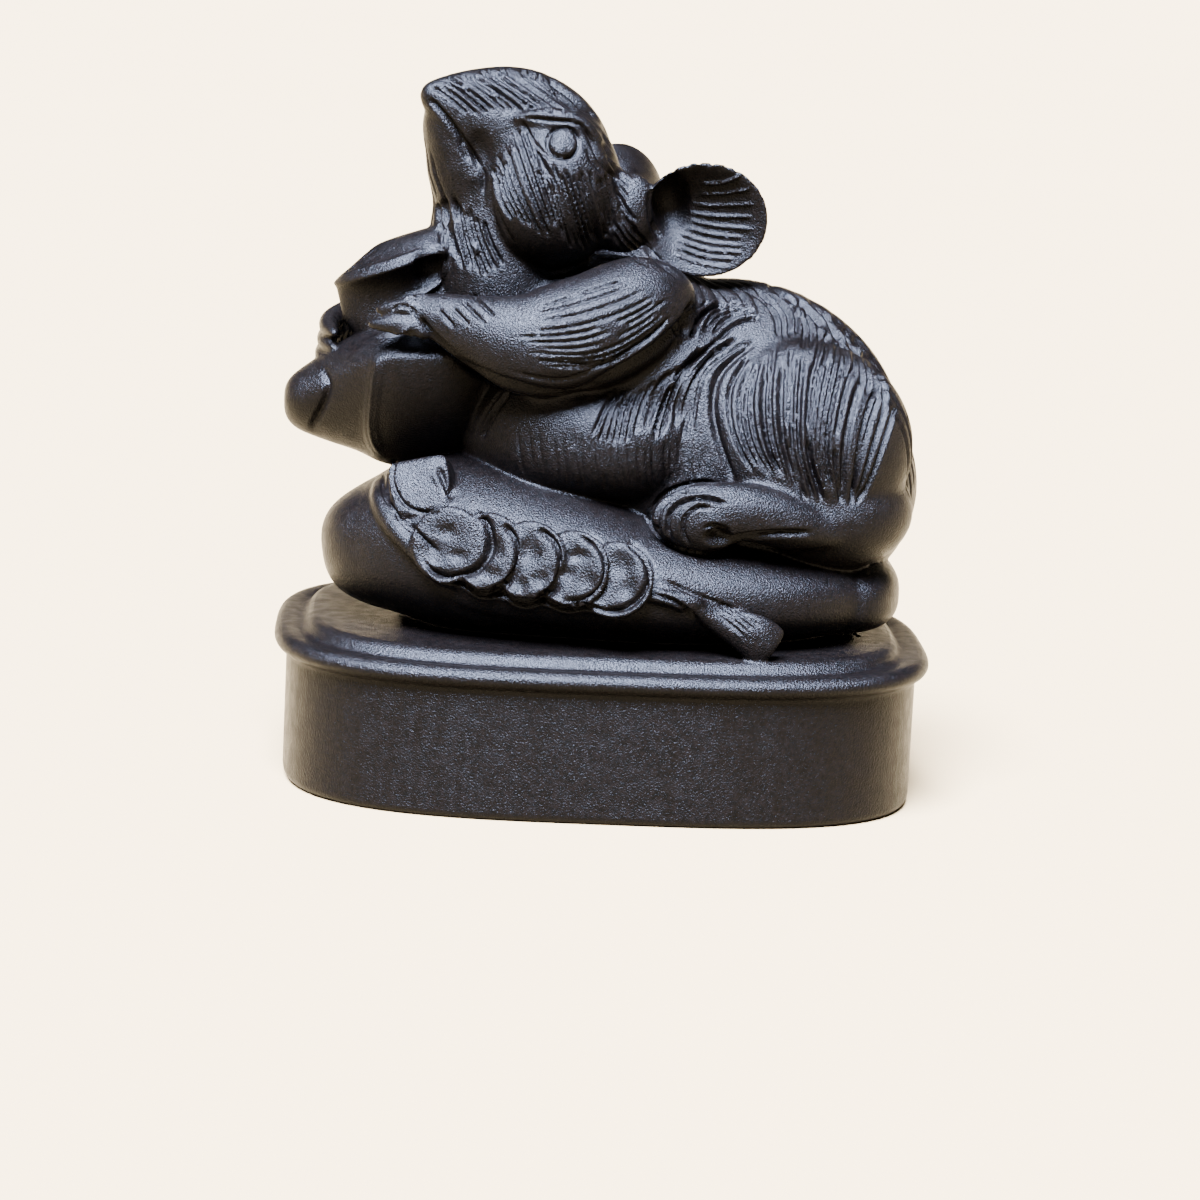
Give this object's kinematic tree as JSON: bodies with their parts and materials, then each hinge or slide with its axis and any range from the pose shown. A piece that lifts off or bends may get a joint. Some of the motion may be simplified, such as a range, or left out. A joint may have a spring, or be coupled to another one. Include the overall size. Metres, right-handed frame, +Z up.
{
  "type": "animal figurine",
  "caption": "Carved black stone figurine of a rat lying on a full money bag and hugging a boat-shaped ingot, on an oblong plinth with a rolled rim.",
  "frame": {"origin": "centre of the plinth's underside, which the figurine stands on", "axes": "+Z up, +X from the rat's muzzle to its tail along the plinth's length, -Y the show side"},
  "size_m": [0.058, 0.044, 0.063],
  "materials": {
    "black_stone": "satin"
  },
  "bodies": {
    "root": {"rat_figurine": "black_stone"}
  },
  "joints": []
}
